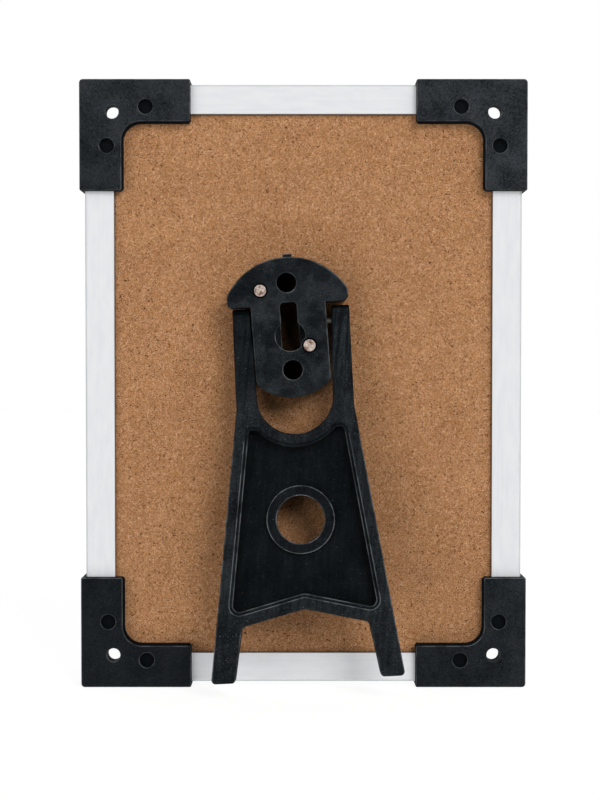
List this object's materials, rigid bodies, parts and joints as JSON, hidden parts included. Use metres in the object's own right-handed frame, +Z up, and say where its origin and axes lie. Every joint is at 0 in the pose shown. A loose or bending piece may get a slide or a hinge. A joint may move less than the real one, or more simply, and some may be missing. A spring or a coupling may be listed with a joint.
{
  "type": "easel back photo frame",
  "caption": "Upright photo frame with satin metal rails, black moulded corner caps, a fibreboard back and a folding easel leg hinged on a riveted hanger bracket.",
  "frame": {"origin": "bottom centre of the whole part's box with the leg a little open, at the surface that the bottom corner caps stand on", "axes": "+Z up along the frame's height, +Y towards the picture side, +X to the right as seen from the back"},
  "size_m": [0.142, 0.0282, 0.1934],
  "materials": {
    "cap_plastic": "moulded, fine matte grain",
    "stand_plastic": "moulded, fine matte grain",
    "satin_aluminium": "satin anodised, drawn lengthwise",
    "hardboard": "raw fibreboard with fine flecks",
    "clear_sheet": "clear plastic sheet",
    "blank_card": "plain matte card",
    "grey_card": "plain grey card",
    "steel": "drawn wire",
    "coppered_steel": "copper-coloured, stippled"
  },
  "bodies": {
    "frame": {"back_panel": "hardboard", "corner_cap_bottom_left": "cap_plastic", "corner_cap_bottom_right": "cap_plastic", "corner_cap_top_left": "cap_plastic", "corner_cap_top_right": "cap_plastic", "filler_card": "grey_card", "glazing": "clear_sheet", "hinge_bracket": "stand_plastic", "hinge_pin_left": "steel", "hinge_pin_right": "steel", "print_card": "blank_card", "rail_bottom": "satin_aluminium", "rail_left": "satin_aluminium", "rail_right": "satin_aluminium", "rail_top": "satin_aluminium", "rivet_lower": "coppered_steel", "rivet_upper": "coppered_steel"},
    "leg": {"easel_leg": "stand_plastic"}
  },
  "joints": [
    {"name": "leg_hinge", "type": "hinge", "parent": "frame", "child": "leg", "pos_m": [-0.0044, 0.00122, 0.11595], "axis": [-0.9972, 0, -0.0745], "range_deg": [-6.5, 20.5]}
  ]
}
